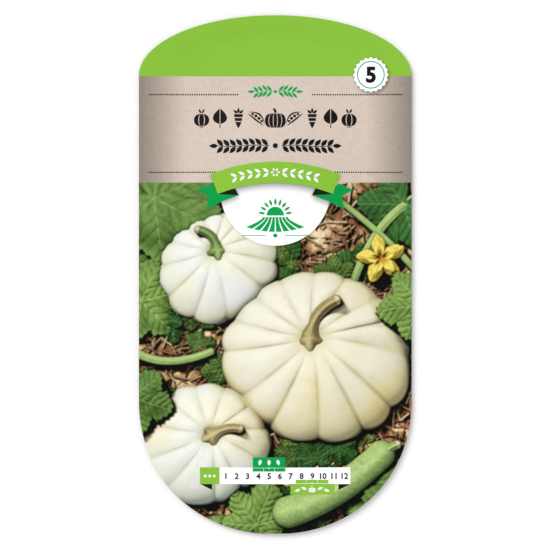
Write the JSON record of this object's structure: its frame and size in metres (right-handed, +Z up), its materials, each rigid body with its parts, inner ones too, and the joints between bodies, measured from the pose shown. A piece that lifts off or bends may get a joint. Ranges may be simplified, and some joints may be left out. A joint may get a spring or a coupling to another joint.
{
  "type": "seed packet",
  "caption": "Sealed paper packet of vegetable seeds with arched ends and a printed front, slightly pillowed by the loose flat seeds inside, lying on its back.",
  "frame": {"origin": "on the surface under the packet, below the middle of its outline", "axes": "+Z up, out of the printed front; +Y along the packet's length, towards its low top arch; +X to the right of the printed front"},
  "size_m": [0.085, 0.1616, 0.0038],
  "materials": {
    "printed_paper": "satin coated printed paper: green top arch and ribbon, tan felt-grained band, vegetable picture, white die-cut edge",
    "plain_paper": "matt uncoated pale tan paper",
    "dry_glue": "clear to pale dried adhesive",
    "seed_shell": "dry cream seed coat, matt"
  },
  "bodies": {
    "root": {"front_sheet": "printed_paper", "back_sheet": "plain_paper", "seal_glue": "dry_glue", "seed_01": "seed_shell", "seed_02": "seed_shell", "seed_03": "seed_shell", "seed_04": "seed_shell", "seed_05": "seed_shell", "seed_06": "seed_shell", "seed_07": "seed_shell", "seed_08": "seed_shell", "seed_09": "seed_shell", "seed_10": "seed_shell", "seed_11": "seed_shell", "seed_12": "seed_shell"}
  },
  "joints": []
}
